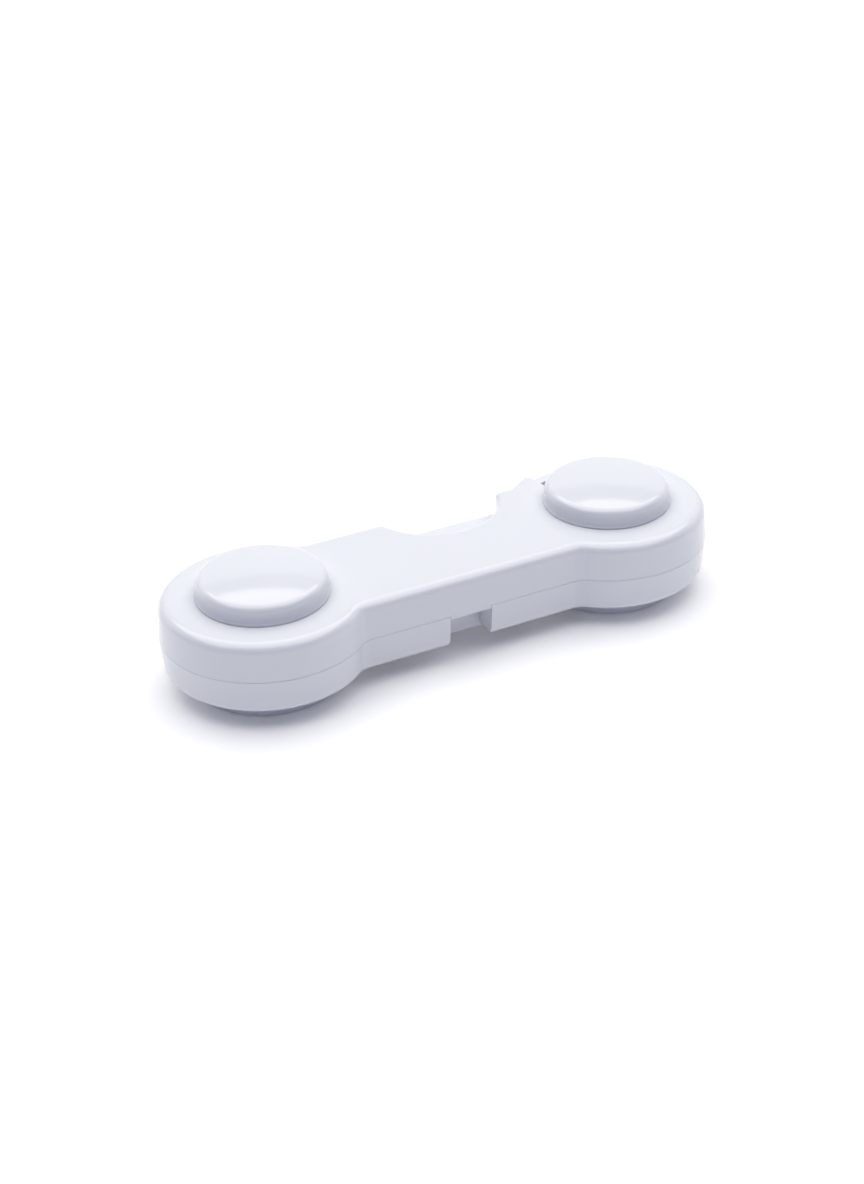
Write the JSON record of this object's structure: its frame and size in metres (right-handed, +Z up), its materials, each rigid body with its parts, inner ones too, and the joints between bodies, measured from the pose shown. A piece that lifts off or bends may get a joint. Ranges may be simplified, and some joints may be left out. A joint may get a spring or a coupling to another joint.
{
  "type": "child safety swing latch",
  "caption": "Dog-bone adhesive swing latch: hollow arm swivelling on one domed spool, hooked by its rear mouth on another and held shut by a sprung thumb lever.",
  "frame": {"origin": "on the mounting surface, at the bottom centre of the bounding box, midway between the two spools", "axes": "+X along the arm from the pivot spool to the catch spool, +Y to the rear, where the mouth opens and the thumb pad is, +Z up away from the mounting surface"},
  "size_m": [0.1144, 0.04, 0.0231],
  "materials": {
    "shell_white": "satin white injection-moulded ABS with a faint cool tint",
    "lever_white": "satin white injection-moulded ABS",
    "cap_white": "polished white ABS",
    "foot_white": "fine-textured white ABS",
    "inner_white": "plain white ABS",
    "slide_ring": "natural acetal",
    "foam_pad": "pale grey acrylic foam with a fine closed-cell grain",
    "liner_film": "thin pale film",
    "screw_steel": "zinc-plated steel",
    "pin_steel": "ground steel",
    "spring_steel": "drawn spring wire"
  },
  "bodies": {
    "pivot_spool": {"pivot_foot": "foot_white", "pivot_head": "inner_white", "pivot_screw": "screw_steel", "pivot_cap": "cap_white", "pivot_washer": "slide_ring", "pivot_pad": "foam_pad", "pivot_liner": "liner_film"},
    "arm": {"upper_shell": "shell_white", "lower_shell": "shell_white", "shell_screws": "screw_steel", "lever_pin": "pin_steel", "lever_washer": "slide_ring"},
    "lever": {"release_lever": "lever_white", "lever_spring": "spring_steel"},
    "catch_spool": {"catch_foot": "foot_white", "catch_head": "inner_white", "catch_screw": "screw_steel", "catch_cap": "cap_white", "catch_washer": "slide_ring", "catch_pad": "foam_pad", "catch_liner": "liner_film"}
  },
  "joints": [
    {"name": "arm_swivel", "type": "hinge", "parent": "pivot_spool", "child": "arm", "pos_m": [-0.0372, 0, 0.011], "axis": [0, 0, 1], "continuous": true},
    {"name": "lever_press", "type": "hinge", "parent": "arm", "child": "lever", "pos_m": [0.017, -0.002, 0.0102], "axis": [0, 0, 1], "range_deg": [0, 14], "stiffness_Nm_per_rad": 0.11, "springref_deg": -9.74, "deforming": ["lever_spring"]},
    {"name": "catch_swivel", "type": "hinge", "parent": "arm", "child": "catch_spool", "pos_m": [0.0372, 0, 0.011], "axis": [0, 0, 1], "continuous": true}
  ]
}
